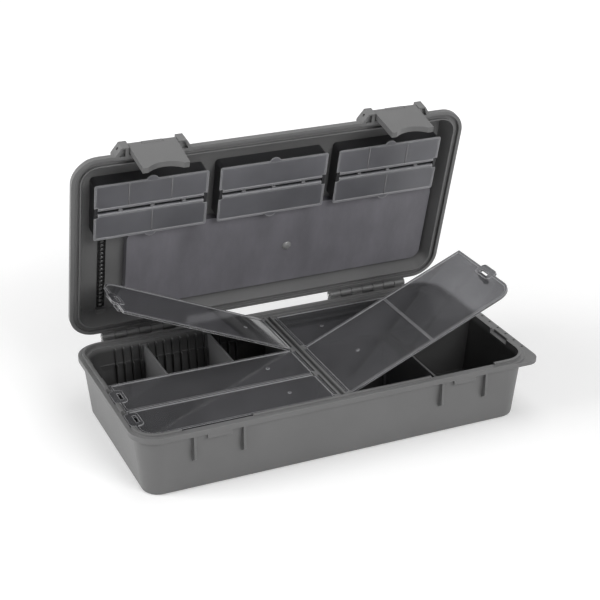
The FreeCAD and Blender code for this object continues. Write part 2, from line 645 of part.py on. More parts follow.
# Dividers: a web with a foot along each end that stands between two ribs.
def divider(name, place, front, back, front_lean, back_lean):
    low = "floor_thick+divider_fit"
    web = [(front, low), (back, low), (f"({back})+{back_lean}", "divider_top"),
           (f"({front})-{front_lean}", "divider_top")]
    solids = [prism(f"divider_web_{name}", "YZ_Plane", web, f"{place}-divider_thick/2",
                    f"{place}+divider_thick/2")]
    feet = {"front": [(front, low), (f"({front})+divider_foot_thick", low),
                      (f"({front})-{front_lean}+divider_foot_thick", "divider_top"),
                      (f"({front})-{front_lean}", "divider_top")],
            "back": [(f"({back})-divider_foot_thick", low), (back, low),
                     (f"({back})+{back_lean}", "divider_top"),
                     (f"({back})+{back_lean}-divider_foot_thick", "divider_top")]}
    for end, points in feet.items():
        solids.append(prism(f"divider_foot_{name}_{end}", "YZ_Plane", points,
                            f"{place}-divider_foot_wide/2", f"{place}+divider_foot_wide/2"))
    return piece(fuse(f"divider_{name}", solids), f"divider_{name}")


def dividers():
    front = "middle_wall_mid+cross_wall_thick/2+divider_fit"
    back = "cavity_back-cavity_lean-2*divider_fit"
    divider("left", "divider_left", front, back, "0", "divider_lean")
    divider("middle", "divider_middle", front, back, "0", "divider_lean")
    divider("right", "divider_right", "cavity_front+cavity_lean+2*divider_fit",
            "middle_wall_mid-cross_wall_thick/2-divider_fit", "divider_lean", "0")


# Lid: edge flange, sloping crown, recess and the groove that takes the lip.
def lid_solid():
    body = new_body("lid_solid")
    edge = sketch_on(body, "lid_edge", "XY_Plane", "lid_foot")
    inset_outline(edge, "lid_length", "lid_width", "0", "rim_corner")
    pad(body, edge, "lid_edge_thick")
    crown = sketch_on(body, "lid_crown", "XY_Plane", "lid_foot+lid_edge_thick")
    inset_outline(crown, "lid_length", "lid_width", "crown_inset", "rim_corner-crown_inset")
    crown_pad = pad(body, crown, "lid_deep-lid_edge_thick", "-crown_slope")
    doc.recompute()
    top = max(range(len(crown_pad.Shape.Faces)),
              key=lambda index: crown_pad.Shape.Faces[index].CenterOfMass.z)
    round_edge = body.newObject("PartDesign::Fillet", "lid_crown_round")
    round_edge.Base = (crown_pad, [f"Face{top + 1}"])
    drive(round_edge, "Radius", "crown_round")
    recess = sketch_on(body, "lid_recess", "XY_Plane", "lid_foot")
    inset_outline(recess, "lid_length", "lid_width", "recess_inset", "rim_corner-recess_inset")
    pocket(body, recess, "recess_deep", "-recess_slope", upward=True)
    groove = sketch_on(body, "lid_groove", "XY_Plane", "lid_foot")
    inset_outline(groove, "lid_length", "lid_width", "groove_inset", "rim_corner-groove_inset")
    inset_outline(groove, "lid_length", "lid_width", "groove_inset+groove_width",
                  "rim_corner-groove_inset-groove_width")
    pocket(body, groove, "groove_deep", upward=True)
    return body


def latch_ears(side, sign):
    """Two cored ears on the front edge of the lid that carry one latch pin."""
    mid = f"{sign}*latch_mid"
    root = "ear_root-lid_width/2"
    tip = "-lid_width/2-ear_reach"
    made, holes = [], []
    for name, way in (("outer", sign), ("inner", -sign)):
        near = f"{mid}+{way}*(latch_width/2+ear_gap)"
        points = [(near, root), (f"{near}+{way}*ear_foot", root),
                  (f"{near}+{way}*ear_foot", "-lid_width/2+groove_inset/2"),
                  (f"{near}+{way}*ear_tip", tip), (near, tip)]
        made.append(prism(f"ear_{side}_{name}", "XY_Plane", points, "lid_foot",
                          "lid_foot+ear_tall"))
        inner = f"{near}+{way}*ear_hole_in"
        hole = [(inner, f"{tip}+ear_wall"), (f"{inner}+{way}*ear_hole_tip", f"{tip}+ear_wall"),
                (f"{inner}+{way}*ear_hole_foot", f"{tip}+ear_wall+ear_hole_length"),
                (inner, f"{tip}+ear_wall+ear_hole_length")]
        holes.append(prism(f"ear_hole_{side}_{name}", "XY_Plane", hole, "lid_foot-lid_gap",
                           "latch_z-latch_pin_radius-ear_wall"))
    return made, holes


def bead_count():
    return int(number("(panel_back-panel_front)/bead_pitch"))


def lid():
    solids = [lid_solid()]
    tools = hinge_bores("lid_hinge_bore")
    for side, sign in mirrored_sides():
        ears, holes = latch_ears(side, sign)
        solids += ears
        tools += holes
        solids += knuckles(side, f"hinge_mid_{side}", 1, "hinge_z-web_thick/4",
                           "hinge_z+3*web_thick/4")
        tools.append(rod(f"ear_bore_{side}", "x", "latch_pin_radius+pin_clearance",
                         "latch_width+2*ear_gap+4*ear_foot",
                         f"{sign}*latch_mid-latch_width/2-ear_gap-2*ear_foot",
                         "latch_y", "latch_z"))
    seat_front = f"panel_front+{bead_count()}*bead_pitch+seat_gap"
    solids.append(block("bead_seat", ("bead_x-seat_wide/2", "bead_x+seat_wide/2"),
                        (seat_front, f"{seat_front}+seat_length"),
                        ("recess_floor-seat_tall", "recess_floor+lid_gap")))
    return piece(opened(cut("lid_shell", fuse("lid_whole", solids), tools)), "lid_shell")


def hinge_pin(side):
    pin = rod(f"hinge_pin_{side}", "x", "hinge_pin_radius", "hinge_length+2*pin_overrun",
              f"hinge_mid_{side}-hinge_length/2-pin_overrun", "hinge_y", "hinge_z")
    return piece(pin, f"hinge_pin_{side}")


# Latch: a hollow plate with cheeks and a skirt, a barrel at the top with a capped window,
# a hook rib inside and a scalloped tip.
def latch_outline(mid, low, high, inset):
    """Front view of the latch from one height to another, set in at both sides."""
    def half(z):
        share = f"((latch_z-({z}))/latch_length)"
        return f"(latch_width/2+(latch_tip_width-latch_width)/2*{share}-{inset})"

    return [(f"{mid}-{half(low)}", low), (f"{mid}+{half(low)}", low),
            (f"{mid}+{half(high)}", high), (f"{mid}-{half(high)}", high)]


def latch(side, sign):
    mid = f"{sign}*latch_mid"
    face = "latch_y-latch_face+latch_thick"
    foot = "latch_z-latch_length"
    rear = f"{face}+cheek_deep"
    scallop_z = f"{foot}-scallop_radius+scallop_deep"
    plate = prism(f"latch_plate_{side}", "XZ_Plane", latch_outline(mid, foot, "latch_z", "0"),
                  f"-({face})", "latch_face-latch_y")
    cheek_top = "latch_z-latch_barrel/2"
    cheeks = prism(f"latch_cheeks_{side}", "XZ_Plane", latch_outline(mid, foot, cheek_top, "0"),
                   f"-({rear})", "latch_face-latch_y")
    barrel = rod(f"latch_barrel_{side}", "x", "latch_barrel", "latch_width",
                 f"{mid}-latch_width/2", "latch_y", "latch_z")
    room = prism(f"latch_room_{side}", "XZ_Plane",
                 latch_outline(mid, f"{foot}+cheek_thick", "latch_z-latch_barrel-cheek_thick/2",
                               "cheek_thick"),
                 f"-({rear}+cheek_deep)", f"-({face}-cheek_pocket)")
    skirt = rod(f"latch_skirt_{side}", "y", "scallop_radius+cheek_thick",
                "4*latch_barrel+2*latch_face", mid, "latch_y-2*latch_face", scallop_z)
    shell = cut(f"latch_shell_{side}", fuse(f"latch_block_{side}", [plate, cheeks, barrel]),
                [cut(f"latch_pocket_{side}", room, [skirt])])
    hook = prism(f"latch_hook_{side}", "YZ_Plane",
                 [(f"{face}-latch_thick/2", "latch_z-hook_top-hook_tall"),
                  (face, "latch_z-hook_top-hook_tall"),
                  (f"{face}+hook_out", "latch_z-hook_top-hook_tall/3"),
                  (f"{face}+hook_out", "latch_z-hook_top"),
                  (f"{face}-latch_thick/2", "latch_z-hook_top")],
                 f"{mid}-hook_length/2", f"{mid}+hook_length/2")
    solid = fuse(f"latch_solid_{side}", [shell, hook])
    tools = [rod(f"latch_scallop_{side}", "y", "scallop_radius", "4*latch_barrel+2*latch_face",
                 mid, "latch_y-2*latch_face", scallop_z),
             block(f"latch_notch_{side}", (f"{mid}-notch_length/2", f"{mid}+notch_length/2"),
                   ("latch_y-2*latch_face", "latch_y-latch_face+notch_deep"),
                   ("latch_z-notch_wide/2", "latch_z+notch_wide/2"))]
    cap = block(f"latch_cap_{side}",
                (f"{mid}-notch_length/2+notch_gap", f"{mid}+notch_length/2-notch_gap"),
                ("latch_y-latch_face", "latch_y-latch_face+2*notch_deep"),
                ("latch_z-notch_wide/2+notch_gap", "latch_z+notch_wide/2-notch_gap"))
    capped = fuse(f"latch_capped_{side}", [cut(f"latch_open_{side}", solid, tools), cap])
    bore = rod(f"latch_bore_{side}", "x", "latch_pin_radius+pin_clearance",
               "latch_width+2*ear_gap", f"{mid}-latch_width/2-ear_gap", "latch_y", "latch_z")
    return piece(opened(cut(f"latch_{side}", capped, [bore])), f"latch_{side}")


def latch_pin(side, sign):
    body = new_body(f"latch_pin_{side}")
    overrun = "(ear_gap+0.85*ear_tip)"
    middle = f"{sign}*latch_mid"
    sketch = sketch_on(body, f"latch_pin_section_{side}", "YZ_Plane",
                       f"{middle}-latch_width/2-{overrun}")
    circle_outline(sketch, "latch_y", "latch_z", "latch_pin_radius")
    pad(body, sketch, f"latch_width+2*{overrun}")
    return piece(opened(body), f"latch_pin_{side}")


# Dark sheet on the floor of the lid, held by a stud.
def rig_panel():
    body = new_body("rig_panel")
    sketch = sketch_on(body, "panel_outline", "XY_Plane", "panel_face")
    rounded_outline(sketch, "panel_left", "panel_right", "panel_front", "panel_back",
                    "panel_corner")
    circle_outline(sketch, "stud_x", "stud_y", "stud_shank+2*pin_clearance")
    pad(body, sketch, "panel_thick")
    return piece(opened(body), "rig_panel")


def panel_stud():
    cap_radius = "((stud_radius*stud_radius+stud_rise*stud_rise)/(2*stud_rise))"
    dome = ball("stud_dome", cap_radius, "stud_x", "stud_y",
                f"panel_face-stud_rise+{cap_radius}")
    room = block("stud_room", ("stud_x-stud_radius", "stud_x+stud_radius"),
                 ("stud_y-stud_radius", "stud_y+stud_radius"),
                 ("panel_face-stud_rise", "panel_face"))
    shank = rod("stud_shaft", "z", "stud_shank", "panel_thick+0.25*stud_rise", "stud_x", "stud_y",
                "panel_face-0.25*stud_rise")
    return piece(opened(fuse("panel_stud", [common("stud_head", dome, room), shank])),
                 "panel_stud")


def bead_strip():
    length = f"{bead_count()}*bead_pitch"
    solids = [block("bead_base", ("bead_x-bead_strip_wide/2", "bead_x+bead_strip_wide/2"),
                    ("panel_front", f"panel_front+{length}"),
                    ("recess_floor-bead_strip_thick", "recess_floor"))]
    room = block("bead_room", ("bead_x-bead_strip_wide", "bead_x+bead_strip_wide"),
                 ("panel_front-bead_radius", f"panel_front+{length}+bead_radius"),
                 ("recess_floor-2*bead_radius", "recess_floor"))
    for turn in range(bead_count()):
        solids.append(ball(f"bead_{turn}", "bead_radius", "bead_x",
                           f"panel_front+({turn}+0.5)*bead_pitch", "recess_floor"))
    return piece(opened(common("bead_strip", fuse("bead_row", solids), room)), "bead_strip")


BOXES = {"left": -1, "middle": 0, "right": 1}
FRONT_WALL_SHARES = {"left": (0.30, 0.675), "middle": (), "right": (0.30, 0.675)}
BACK_WALL_SHARES = {"left": (0.51,), "middle": (), "right": (0.51,)}


# Bit box tray: walls, spine along the middle and the walls between compartments.
def tray(side):
    mid = f"({BOXES[side]}*box_pitch)"
    half_long = "(box_length/2-box_lid_edge)"
    half_wide = "(box_width/2-box_lid_edge)"
    body = new_body(f"tray_outside_{side}")
    sketch = sketch_on(body, f"tray_outline_{side}", "XY_Plane", "tray_mouth")
    rounded_outline(sketch, f"{mid}-{half_long}", f"{mid}+{half_long}",
                    f"box_mid-{half_wide}", f"box_mid+{half_wide}", "box_corner")
    pad(body, sketch, "tray_foot-tray_mouth")
    wells = new_body(f"tray_wells_{side}")
    inner = sketch_on(wells, f"tray_inner_{side}", "XY_Plane", "tray_mouth")
    rounded_outline(inner, f"{mid}-{half_long}+tray_wall", f"{mid}+{half_long}-tray_wall",
                    f"box_mid-{half_wide}+tray_wall", f"box_mid+{half_wide}-tray_wall",
                    "box_corner-tray_wall")
    pad(wells, inner, "tray_foot-tray_mouth-tray_floor")
    walls = [block(f"tray_spine_{side}", (f"{mid}-{half_long}", f"{mid}+{half_long}"),
                   ("box_mid-box_axis_out-box_barrel", "box_mid+box_axis_out+box_barrel"),
                   ("box_axis_z+box_barrel+box_lid_fit", "tray_foot"))]
    rows = (("front", FRONT_WALL_SHARES[side], (f"box_mid-{half_wide}", "box_mid")),
            ("back", BACK_WALL_SHARES[side], ("box_mid", f"box_mid+{half_wide}")))
    for row, shares, y in rows:
        for count, share in enumerate(shares):
            place = f"{mid}+({share}-0.5)*box_length"
            walls.append(block(f"tray_wall_{side}_{row}_{count}",
                               (f"{place}-tray_wall/2", f"{place}+tray_wall/2"), y,
                               ("tray_mouth+box_lid_fit", "tray_foot")))
    shell = cut(f"tray_shell_{side}", body, [cut(f"tray_hollow_{side}", wells, walls)])
    lugs = cut(f"tray_lugs_{side}", tray_lug_bar(side, mid, half_long),
               [tray_lug_room(side, mid, half_long)])
    tools = []
    for name, way in (("front", "-1"), ("back", "1")):
        axis = f"box_mid+{way}*box_axis_out"
        tools.append(rod(f"tray_bore_{side}_{name}", "x", "box_pin_radius+pin_clearance",
                         f"2*{half_long}", f"{mid}-{half_long}", axis, "box_axis_z"))
        tools.append(rod(f"tray_barrel_room_{side}_{name}", "x", "box_barrel+box_lid_fit",
                         f"2*({half_long}-2*tray_wall)", f"{mid}-{half_long}+2*tray_wall",
                         axis, "box_axis_z"))
    whole = fuse(f"tray_whole_{side}", [shell, lugs])
    return piece(opened(cut(f"bitbox_tray_{side}", whole, tools)), f"bitbox_tray_{side}")


def tray_lug_bar(side, mid, half_long):
    """Bar across the middle, as high as the lugs that carry the two lids."""
    return block(f"tray_lug_bar_{side}", (f"{mid}-{half_long}", f"{mid}+{half_long}"),
                 ("box_mid-box_axis_out-2*box_barrel", "box_mid+box_axis_out+2*box_barrel"),
                 ("box_face+box_lid_thick/2", "box_axis_z+2*box_barrel"))


def tray_lug_room(side, mid, half_long):
    """What leaves only the two ends of the bar standing."""
    return block(f"tray_lug_room_{side}",
                 (f"{mid}-{half_long}+2*tray_wall", f"{mid}+{half_long}-2*tray_wall"),
                 ("box_mid-box_width/4", "box_mid+box_width/4"),
                 ("box_face", "box_axis_z+3*box_barrel"))


# Bit box lid: clear plate with border, barrel with stub pins and a round finger tab.
def box_lid(side, row):
    way = -1 if row == "front" else 1
    name = f"{side}_{row}"
    mid = f"({BOXES[side]}*box_pitch)"
    axis = f"(box_mid+{way}*box_axis_out)"
    edge = f"(box_mid+{way}*box_width/2)"
    y = (edge, axis) if way == -1 else (axis, edge)
    x = (f"{mid}-box_length/2", f"{mid}+box_length/2")
    body = new_body(f"box_plate_{name}")
    sketch = sketch_on(body, f"box_plate_outline_{name}", "XY_Plane", "box_face")
    rounded_outline(sketch, *x, *y, "box_corner/2")
    pad(body, sketch, "box_lid_thick")
    hollow = new_body(f"box_plate_hollow_{name}")
    inner = sketch_on(hollow, f"box_plate_inner_{name}", "XY_Plane", "box_face")
    rounded_outline(inner, f"{x[0]}+box_border", f"{x[1]}-box_border", f"{y[0]}+box_border",
                    f"{y[1]}-box_border", "box_corner/4")
    pad(hollow, inner, "box_border_rise")
    tab = rod(f"box_tab_{name}", "z", "box_tab_radius", "box_lid_thick", mid,
              f"{edge}-{way}*(box_tab_radius-box_tab_reach)", "box_face")
    tab_room = block(f"box_tab_room_{name}", (f"{mid}-box_tab_radius", f"{mid}+box_tab_radius"),
                     (f"{edge}-box_tab_radius", f"{edge}+box_border/2") if way == -1 else
                     (f"{edge}-box_border/2", f"{edge}+box_tab_radius"),
                     ("box_face", "box_face+box_lid_thick"))
    plate = cut(f"box_plate_cut_{name}", body, [hollow])
    inside = "(box_length/2-box_lid_edge-2*tray_wall-box_lid_fit)"
    barrel = rod(f"box_barrel_{name}", "x", "box_barrel", f"2*{inside}", f"{mid}-{inside}", axis,
                 "box_axis_z")
    whole = fuse(f"box_lid_whole_{name}", [plate, common(f"box_tab_end_{name}", tab, tab_room),
                                           barrel])
    lug_y = ("box_mid-box_axis_out-2*box_barrel-box_lid_fit", "box_mid+box_lid_fit")
    if way == 1:
        lug_y = ("box_mid-box_lid_fit", "box_mid+box_axis_out+2*box_barrel+box_lid_fit")
    rooms = [block(f"box_lug_room_{name}_left", (f"{x[0]}-box_lid_fit", f"{mid}-{inside}"), lug_y,
                   ("box_face-box_lid_fit", "box_axis_z+2*box_barrel")),
             block(f"box_lug_room_{name}_right", (f"{mid}+{inside}", f"{x[1]}+box_lid_fit"), lug_y,
                   ("box_face-box_lid_fit", "box_axis_z+2*box_barrel"))]
    trimmed = cut(f"box_lid_trimmed_{name}", whole, rooms)
    pins = rod(f"box_pins_{name}", "x", "box_pin_radius", f"2*{inside}+2.5*tray_wall",
               f"{mid}-{inside}-1.25*tray_wall", axis, "box_axis_z")
    done = fuse(f"bitbox_lid_{row}_{side}", [trimmed, pins])
    return piece(opened(done), f"bitbox_lid_{row}_{side}")


tub()
lid()
for side, sign in mirrored_sides():
    hinge_pin(side)
    latch(side, sign)
    latch_pin(side, sign)
for name in FLAPS:
    flap(name)
dividers()
rig_panel()
panel_stud()
bead_strip()
for side in BOXES:
    tray(side)
    for row in ("front", "back"):
        box_lid(side, row)
doc.recompute()

faults = [thing.Name for thing in doc.Objects if {"Invalid", "Error"} & set(thing.State)]
if faults:
    raise RuntimeError(f"these objects failed: {faults}")
for thing in PIECES:
    if thing.Shape.isNull() or not thing.Shape.isValid():
        raise RuntimeError(f"{thing.Label} has no valid shape")

os.makedirs("parts", exist_ok=True)
for thing in PIECES:
    thing.Shape.exportStep(f"parts/{thing.Label}.step")
    print(thing.Label, len(thing.Shape.Solids), round(thing.Shape.Volume))
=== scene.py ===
import math

import bpy
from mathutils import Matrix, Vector


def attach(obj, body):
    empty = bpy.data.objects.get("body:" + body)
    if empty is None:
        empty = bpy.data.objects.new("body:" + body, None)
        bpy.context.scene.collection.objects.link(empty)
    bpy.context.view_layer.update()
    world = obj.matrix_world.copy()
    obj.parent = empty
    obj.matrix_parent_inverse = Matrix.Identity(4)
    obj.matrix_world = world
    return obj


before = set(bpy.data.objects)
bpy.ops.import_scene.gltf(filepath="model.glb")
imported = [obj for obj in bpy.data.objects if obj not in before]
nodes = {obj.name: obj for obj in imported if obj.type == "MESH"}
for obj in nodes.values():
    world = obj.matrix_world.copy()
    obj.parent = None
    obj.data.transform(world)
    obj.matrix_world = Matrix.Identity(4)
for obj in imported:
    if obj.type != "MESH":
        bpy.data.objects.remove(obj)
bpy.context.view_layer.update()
bpy.ops.object.select_all(action="DESELECT")


# Camera: it stands low at the front left and looks a little down, as the photograph does.
# A long lens keeps the box's edges nearly parallel.
tilt_down, turn_right = math.radians(24.70), math.radians(23.83)
bpy.ops.object.camera_add(
    location=(-0.48958, -1.10464, 0.67088),
    rotation=(math.radians(90) - tilt_down, 0, -turn_right),
)
camera = bpy.context.object
camera.data.lens = 87.68
camera.data.sensor_width = 36
camera.data.clip_start = 0.01
bpy.context.scene.camera = camera
bpy.context.scene.view_settings.view_transform = "Standard"


# Studio: a white sweep with one soft lamp low at the left, one at the front right and a
# weak one overhead. The floor is white to the camera and keeps the shadow.
def maths(tree, operation, *values):
    """A maths node's result; each value is a number or what another node gives."""
    node = tree.nodes.new("ShaderNodeMath")
    node.operation = operation
    for socket, value in zip(node.inputs, values):
        if isinstance(value, bpy.types.NodeSocket):
            tree.links.new(value, socket)
        else:
            socket.default_value = value
    return node.outputs[0]


def looked_at(tree):
    """1 for what the camera sees directly, mirrored or through plastic, 0 for lighting."""
    rays = tree.nodes.new("ShaderNodeLightPath").outputs
    seen = maths(tree, "MAXIMUM", rays["Is Camera Ray"], rays["Is Glossy Ray"])
    return maths(tree, "MAXIMUM", seen, rays["Is Transmission Ray"])


def soft_lamp(name, place, target, width, height, watts):
    lamp = bpy.data.objects.new(name, bpy.data.lights.new(name, "AREA"))
    bpy.context.collection.objects.link(lamp)
    lamp.data.shape = "RECTANGLE"
    lamp.data.size = width
    lamp.data.size_y = height
    lamp.data.energy = watts
    lamp.location = place
    lamp.rotation_euler = (Vector(target) - Vector(place)).to_track_quat("-Z", "Y").to_euler()
    lamp.visible_transmission = False


white = (1, 1, 1, 1)
bpy.ops.mesh.primitive_plane_add(size=16, location=(0, 0, 0))
floor = bpy.context.object
floor.name = "studio_floor"
paper = bpy.data.materials.new("floor_paper")
paper.use_nodes = True
sheet = paper.node_tree
paint = sheet.nodes["Principled BSDF"]
paint.inputs["Base Color"].default_value = (0.8, 0.8, 0.8, 1)
paint.inputs["Roughness"].default_value = 0.9
paint.inputs["Emission Color"].default_value = white
spot = sheet.nodes.new("ShaderNodeTexCoord")
reach = sheet.nodes.new("ShaderNodeVectorMath")
reach.operation = "LENGTH"
fade = sheet.nodes.new("ShaderNodeMapRange")
near, far, near_glow, far_glow = 0.3, 1.1, 0.26, 0.7
fade.inputs["From Min"].default_value = near
fade.inputs["From Max"].default_value = far
fade.inputs["To Min"].default_value = near_glow
fade.inputs["To Max"].default_value = far_glow
sheet.links.new(spot.outputs["Object"], reach.inputs[0])
sheet.links.new(reach.outputs["Value"], fade.inputs["Value"])
lift = maths(sheet, "MULTIPLY", looked_at(sheet), fade.outputs["Result"])
sheet.links.new(lift, paint.inputs["Emission Strength"])
floor.data.materials.append(paper)

world = bpy.data.worlds.new("studio_air")
bpy.context.scene.world = world
world.use_nodes = True
air = world.node_tree
glow = air.nodes["Background"]
glow.inputs["Color"].default_value = white
glow.inputs["Strength"].default_value = 0.24
backdrop = air.nodes.new("ShaderNodeBackground")
backdrop.inputs["Color"].default_value = white
backdrop.inputs["Strength"].default_value = 1.0
either = air.nodes.new("ShaderNodeMixShader")
air.links.new(looked_at(air), either.inputs[0])
air.links.new(glow.outputs[0], either.inputs[1])
air.links.new(backdrop.outputs[0], either.inputs[2])
air.links.new(either.outputs[0], air.nodes["World Output"].inputs["Surface"])

soft_lamp("side_lamp", (-1.9, 0.25, 1.0), (0, 0, 0.08), 1.2, 1.2, 29)
soft_lamp("front_lamp", (0.55, -2.0, 1.3), (0, 0, 0.1), 1.3, 1.0, 32)
soft_lamp("top_lamp", (0.2, 0.0, 2.0), (0, 0, 0), 1.4, 1.0, 9)


# Moulded shell: the tub and the lid are polypropylene, moulded grey with a spark-eroded
# satin skin. Its sharp edges are a little rounded and painted paler: partly wear, partly a
# painted highlight.
def clouded(tree, place, colour, scale, detail, darker, paler):
    """Soft clouds of darker and paler colour: the noise node and the ramp after it."""
    cloud = tree.nodes.new("ShaderNodeTexNoise")
    cloud.inputs["Scale"].default_value = scale
    cloud.inputs["Detail"].default_value = detail
    tone = tree.nodes.new("ShaderNodeValToRGB")
    for end, position, share in zip(tone.color_ramp.elements, (0.3, 0.7), (darker, paler)):
        end.position = position
        end.color = (*[c * share for c in colour], 1)
    tree.links.new(place.outputs["Object"], cloud.inputs["Vector"])
    tree.links.new(cloud.outputs["Fac"], tone.inputs["Fac"])
    return cloud, tone


def near_edges(tree, radius, samples, full_at, most):
    """0 on open faces, rising to the most at sharp edges: the bevel node and the result."""
    rounded = tree.nodes.new("ShaderNodeBevel")
    rounded.samples = samples
    rounded.inputs["Radius"].default_value = radius
    facing = tree.nodes.new("ShaderNodeNewGeometry")
    turn = tree.nodes.new("ShaderNodeVectorMath")
    turn.operation = "DOT_PRODUCT"
    edge = tree.nodes.new("ShaderNodeMapRange")
    edge.inputs["From Min"].default_value = 1.0
    edge.inputs["From Max"].default_value = full_at
    edge.inputs["To Max"].default_value = most
    tree.links.new(rounded.outputs["Normal"], turn.inputs[0])
    tree.links.new(facing.outputs["Normal"], turn.inputs[1])
    tree.links.new(turn.outputs["Value"], edge.inputs["Value"])
    return rounded, edge.outputs["Result"]


def vary(tree, socket, driver, low, high):
    """Lead a value of 0 to 1 to a socket as low to high."""
    spread = tree.nodes.new("ShaderNodeMapRange")
    spread.inputs["To Min"].default_value = low
    spread.inputs["To Max"].default_value = high
    tree.links.new(driver, spread.inputs["Value"])
    tree.links.new(spread.outputs["Result"], socket)


def new_plastic(name):
    material = bpy.data.materials.new(name)
    material.use_nodes = True
    tree = material.node_tree
    shader = tree.nodes["Principled BSDF"]
    shader.inputs["IOR"].default_value = 1.49
    return material, tree, shader


def moulded_plastic(name, colour, rough, skin=0.5, edge=0.35, radius=0.0006):
    material, tree, shader = new_plastic(name)
    made, link = tree.nodes.new, tree.links.new
    place = made("ShaderNodeTexCoord")
    tone = clouded(tree, place, colour, 22, 4, 0.94, 1.05)[1]
    # Paler edges: partly wear, partly a painted highlight where the edges catch light.
    rounded, rub_and_highlight = near_edges(tree, radius, 4, 0.75, edge)
    worn_and_lit = made("ShaderNodeMix")
    worn_and_lit.data_type = "RGBA"
    worn_and_lit.inputs["B"].default_value = (*[min(1, c * 1.9 + 0.05) for c in colour], 1)
    link(rub_and_highlight, worn_and_lit.inputs["Factor"])
    link(tone.outputs["Color"], worn_and_lit.inputs["A"])
    link(worn_and_lit.outputs["Result"], shader.inputs["Base Color"])

    grain = made("ShaderNodeTexNoise")
    grain.inputs["Scale"].default_value = 1500
    grain.inputs["Detail"].default_value = 2
    link(place.outputs["Object"], grain.inputs["Vector"])
    bump = made("ShaderNodeBump")
    bump.inputs["Strength"].default_value = skin
    bump.inputs["Distance"].default_value = 0.00004
    link(grain.outputs["Fac"], bump.inputs["Height"])
    link(rounded.outputs["Normal"], bump.inputs["Normal"])
    link(bump.outputs["Normal"], shader.inputs["Normal"])
    vary(tree, shader.inputs["Roughness"], grain.outputs["Fac"], rough - 0.06, rough + 0.08)
    return material


def dress(material, *names):
    for name in names:
        mesh = nodes[name].data
        if not mesh.materials:
            mesh.materials.append(material)
        for place in range(len(mesh.materials)):
            mesh.materials[place] = material


def multiply_colour(tree, shader, tone, factor):
    """Multiply the base colour by a tone, by as much as the factor says."""
    shade = tree.nodes.new("ShaderNodeMix")
    shade.data_type = "RGBA"
    shade.blend_type = "MULTIPLY"
    tree.links.new(shader.inputs["Base Color"].links[0].from_socket, shade.inputs["A"])
    for socket, value in ((shade.inputs["B"], tone), (shade.inputs["Factor"], factor)):
        if isinstance(value, bpy.types.NodeSocket):
            tree.links.new(value, socket)
        else:
            socket.default_value = value
    tree.links.new(shade.outputs["Result"], shader.inputs["Base Color"])


def paint_bay_shade(material, half_long, half_wide, corner, draft, top, tone):
    """Painted shade: below the rim, the inside of the tub is darkened in its colour to stand in
    for the shade in its deep bays.
    """
    tree = material.node_tree
    shader = tree.nodes["Principled BSDF"]
    middle, rim_fade = 0.001, 0.004
    place = tree.nodes.new("ShaderNodeTexCoord")
    parts = tree.nodes.new("ShaderNodeSeparateXYZ")
    tree.links.new(place.outputs["Object"], parts.inputs[0])
    beyond = tree.nodes.new("ShaderNodeCombineXYZ")
    for axis, centre, half in (("X", middle, half_long), ("Y", 0, half_wide)):
        off = maths(tree, "ABSOLUTE", maths(tree, "SUBTRACT", parts.outputs[axis], centre))
        wall = maths(tree, "MULTIPLY_ADD", parts.outputs["Z"], draft, half - corner)
        past = maths(tree, "MAXIMUM", maths(tree, "SUBTRACT", off, wall), 0)
        tree.links.new(past, beyond.inputs[axis])
    out = tree.nodes.new("ShaderNodeVectorMath")
    out.operation = "LENGTH"
    tree.links.new(beyond.outputs[0], out.inputs[0])
    inside = maths(tree, "LESS_THAN", out.outputs["Value"], corner)
    below = tree.nodes.new("ShaderNodeMapRange")
    below.inputs["From Min"].default_value = top
    below.inputs["From Max"].default_value = top - rim_fade
    tree.links.new(parts.outputs["Z"], below.inputs["Value"])
    depth = maths(tree, "MULTIPLY", inside, below.outputs["Result"])
    multiply_colour(tree, shader, (tone, tone, tone, 1), depth)


tub_grey = moulded_plastic("tub_grey", (0.136, 0.136, 0.136), 0.42)
# Painted shade in the tub's bays: darker in colour below the rim.
paint_bay_shade(
    tub_grey, half_long=0.1792, half_wide=0.0868, corner=0.02, draft=0.105, top=0.0595, tone=0.34
)
dress(tub_grey, "base_tub")
lid_grey = moulded_plastic("lid_grey", (0.138, 0.138, 0.138), 0.42)
dress(lid_grey, "lid_shell")


# Latches: separate mouldings of the same plastic, a shade lighter and glossier, each
# snapped on a plain steel pin between two ears of the lid.
latch_grey = moulded_plastic("latch_grey", (0.128, 0.128, 0.128), 0.36)
dress(latch_grey, "latch_left", "latch_right")


# Pins: bright drawn steel wire, cut to length and pressed through the hinge knuckles and
# the latch ears.
def drawn_steel(name):
    material = bpy.data.materials.new(name)
    material.use_nodes = True
    tree = material.node_tree
    made, link = tree.nodes.new, tree.links.new
    shader = tree.nodes["Principled BSDF"]
    shader.inputs["Base Color"].default_value = (0.56, 0.56, 0.55, 1)
    shader.inputs["Metallic"].default_value = 1.0
    place = made("ShaderNodeTexCoord")
    stretch = made("ShaderNodeMapping")
    stretch.inputs["Scale"].default_value = (60, 4000, 4000)
    drawn = made("ShaderNodeTexNoise")
    drawn.inputs["Scale"].default_value = 1
    link(place.outputs["Object"], stretch.inputs["Vector"])
    link(stretch.outputs["Vector"], drawn.inputs["Vector"])
    vary(tree, shader.inputs["Roughness"], drawn.outputs["Fac"], 0.22, 0.42)
    bump = made("ShaderNodeBump")
    bump.inputs["Strength"].default_value = 0.3
    bump.inputs["Distance"].default_value = 0.00002
    link(drawn.outputs["Fac"], bump.inputs["Height"])
    link(bump.outputs["Normal"], shader.inputs["Normal"])
    return material


steel = drawn_steel("drawn_steel")
dress(steel, *[name for name in nodes if name.startswith(("hinge_pin", "latch_pin"))])
